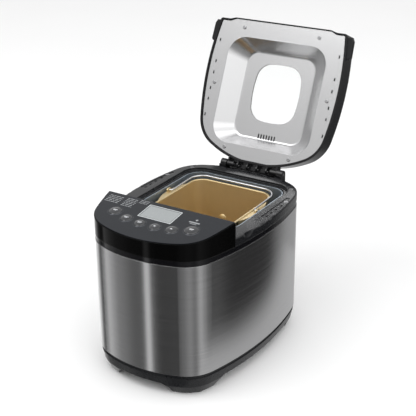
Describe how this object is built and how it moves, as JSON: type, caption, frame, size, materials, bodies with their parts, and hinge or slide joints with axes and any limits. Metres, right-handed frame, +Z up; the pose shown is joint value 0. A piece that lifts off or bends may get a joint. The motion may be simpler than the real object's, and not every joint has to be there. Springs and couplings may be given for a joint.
{
  "type": "bread machine",
  "caption": "Upright bread machine with a steel body, sloping push-button panel, lift-out coated pan with bail handle, and a windowed lid on a rear hinge, shown open.",
  "frame": {"origin": "on the worktop, below the middle of the casing's plan outline", "axes": "+X to the right of someone facing the control panel, +Y to the back, +Z up"},
  "size_m": [0.2572, 0.4597, 0.4601],
  "materials": {
    "black_plastic": "gloss black moulded plastic",
    "rubber": "matte rubber",
    "black_rubber": "matte silicone rubber",
    "zinc_steel": "zinc-plated steel",
    "brushed_steel": "vertically brushed stainless sheet",
    "black_screws": "blackened steel",
    "panel_overlay": "satin dark grey printed sheet",
    "clear_lens": "clear lens",
    "lcd_grey": "pale grey display",
    "button_chrome": "dark chromed caps",
    "circuit_board": "green board",
    "chamber_steel": "blue-grey coated steel",
    "element_sheath": "heat-darkened sheath",
    "ceramic_white": "white ceramic",
    "cast_aluminium": "die-cast, satin",
    "bronze": "sintered bronze",
    "pulley_plastic": "natural nylon",
    "belt_rubber": "rubber belt",
    "motor_laminations": "steel laminations and copper",
    "capacitor_case": "pale case",
    "pan_coating": "gold non-stick coating",
    "handle_wire": "bright steel wire",
    "paddle_coating": "dark non-stick coating",
    "liner_aluminium": "satin pressed aluminium",
    "window_glass": "clear heat-resistant glass"
  },
  "bodies": {
    "casing": {"base_tray": "black_plastic", "rubber_feet": "rubber", "chassis_screws": "zinc_steel", "steel_wrap": "brushed_steel", "cord_grommet": "black_plastic", "top_trim_ring": "black_plastic", "top_frame": "black_plastic", "deck_screws": "black_screws", "control_overlay": "panel_overlay", "lcd_lens": "clear_lens", "lcd_module": "lcd_grey", "control_pcb": "circuit_board", "panel_screws": "zinc_steel", "oven_chamber": "chamber_steel", "heating_element": "element_sheath", "element_clips": "zinc_steel", "element_bushes": "ceramic_white", "temperature_sensor": "zinc_steel", "thermal_fuse": "ceramic_white", "chassis_plate": "zinc_steel", "bearing_housing": "cast_aluminium", "drive_bushes": "bronze", "drive_belt": "belt_rubber", "pan_seat": "cast_aluminium", "seat_screws": "zinc_steel", "motor_end_caps": "cast_aluminium", "motor_stator": "motor_laminations", "motor_bracket": "zinc_steel", "motor_capacitor": "capacitor_case", "pcb_standoffs": "pulley_plastic", "power_pcb": "circuit_board", "power_transformer": "motor_laminations", "terminal_block": "pulley_plastic", "hinge_bracket": "black_plastic"},
    "lid": {"lid_shell": "black_plastic", "lid_liner": "liner_aluminium", "window_glass": "window_glass", "window_gasket": "black_rubber", "lid_screws": "zinc_steel", "lid_hinge_arm": "black_plastic", "hinge_pins": "zinc_steel"},
    "menu_cap": {"menu_button": "button_chrome"},
    "loaf_size_cap": {"loaf_size_button": "button_chrome"},
    "crust_cap": {"crust_button": "button_chrome"},
    "time_down_cap": {"time_down_button": "button_chrome"},
    "time_up_cap": {"time_up_button": "button_chrome"},
    "start_stop_cap": {"start_stop_button": "button_chrome"},
    "drive": {"drive_shaft": "zinc_steel", "large_pulley": "pulley_plastic", "drive_coupling": "cast_aluminium"},
    "motor": {"motor_rotor": "motor_laminations", "motor_pulley": "zinc_steel"},
    "pan": {"bread_pan": "pan_coating", "pan_ears": "pan_coating", "pan_base_ring": "cast_aluminium", "pan_bush": "bronze"},
    "handle": {"pan_handle": "handle_wire"},
    "paddle": {"pan_shaft": "zinc_steel", "pan_coupling": "cast_aluminium", "kneading_paddle": "paddle_coating"}
  },
  "joints": [
    {"name": "lid_hinge", "type": "hinge", "parent": "casing", "child": "lid", "pos_m": [0, 0.169, 0.2384], "axis": [1, 0, 0], "range_deg": [0, 113.6]},
    {"name": "menu_press", "type": "slide", "parent": "casing", "child": "menu_cap", "axis": [0, 0.1364, -0.9907], "range_m": [0, 0.001], "stiffness_N_per_m": 1500, "springref_m": -0.0003},
    {"name": "loaf_size_press", "type": "slide", "parent": "casing", "child": "loaf_size_cap", "axis": [0, 0.1364, -0.9907], "range_m": [0, 0.001], "stiffness_N_per_m": 1500, "springref_m": -0.0003},
    {"name": "crust_press", "type": "slide", "parent": "casing", "child": "crust_cap", "axis": [0, 0.1364, -0.9907], "range_m": [0, 0.001], "stiffness_N_per_m": 1500, "springref_m": -0.0003},
    {"name": "time_down_press", "type": "slide", "parent": "casing", "child": "time_down_cap", "axis": [0, 0.1364, -0.9907], "range_m": [0, 0.001], "stiffness_N_per_m": 1500, "springref_m": -0.0003},
    {"name": "time_up_press", "type": "slide", "parent": "casing", "child": "time_up_cap", "axis": [0, 0.1364, -0.9907], "range_m": [0, 0.001], "stiffness_N_per_m": 1500, "springref_m": -0.0003},
    {"name": "start_stop_press", "type": "slide", "parent": "casing", "child": "start_stop_cap", "axis": [0, 0.1364, -0.9907], "range_m": [0, 0.001], "stiffness_N_per_m": 1500, "springref_m": -0.0003},
    {"name": "drive_spin", "type": "hinge", "parent": "casing", "child": "drive", "pos_m": [0, 0.042, 0.05], "axis": [0, 0, 1], "continuous": true},
    {"name": "motor_spin", "type": "hinge", "parent": "casing", "child": "motor", "pos_m": [0, -0.104, 0.05], "axis": [0, 0, 1], "continuous": true},
    {"name": "pan_lift", "type": "slide", "parent": "casing", "child": "pan", "axis": [0, 0, -1], "range_m": [-0.17, 0]},
    {"name": "handle_swing", "type": "hinge", "parent": "pan", "child": "handle", "pos_m": [0, 0.042, 0.2284], "axis": [-1, 0, 0], "range_deg": [-174, 0]},
    {"name": "paddle_spin", "type": "hinge", "parent": "pan", "child": "paddle", "pos_m": [0, 0.042, 0.11], "axis": [0, 0, 1], "continuous": true}
  ],
  "couplings": [
    {"joint": "motor_spin", "follows": "drive_spin", "ratio": 6.5},
    {"joint": "paddle_spin", "follows": "drive_spin", "ratio": 1}
  ]
}
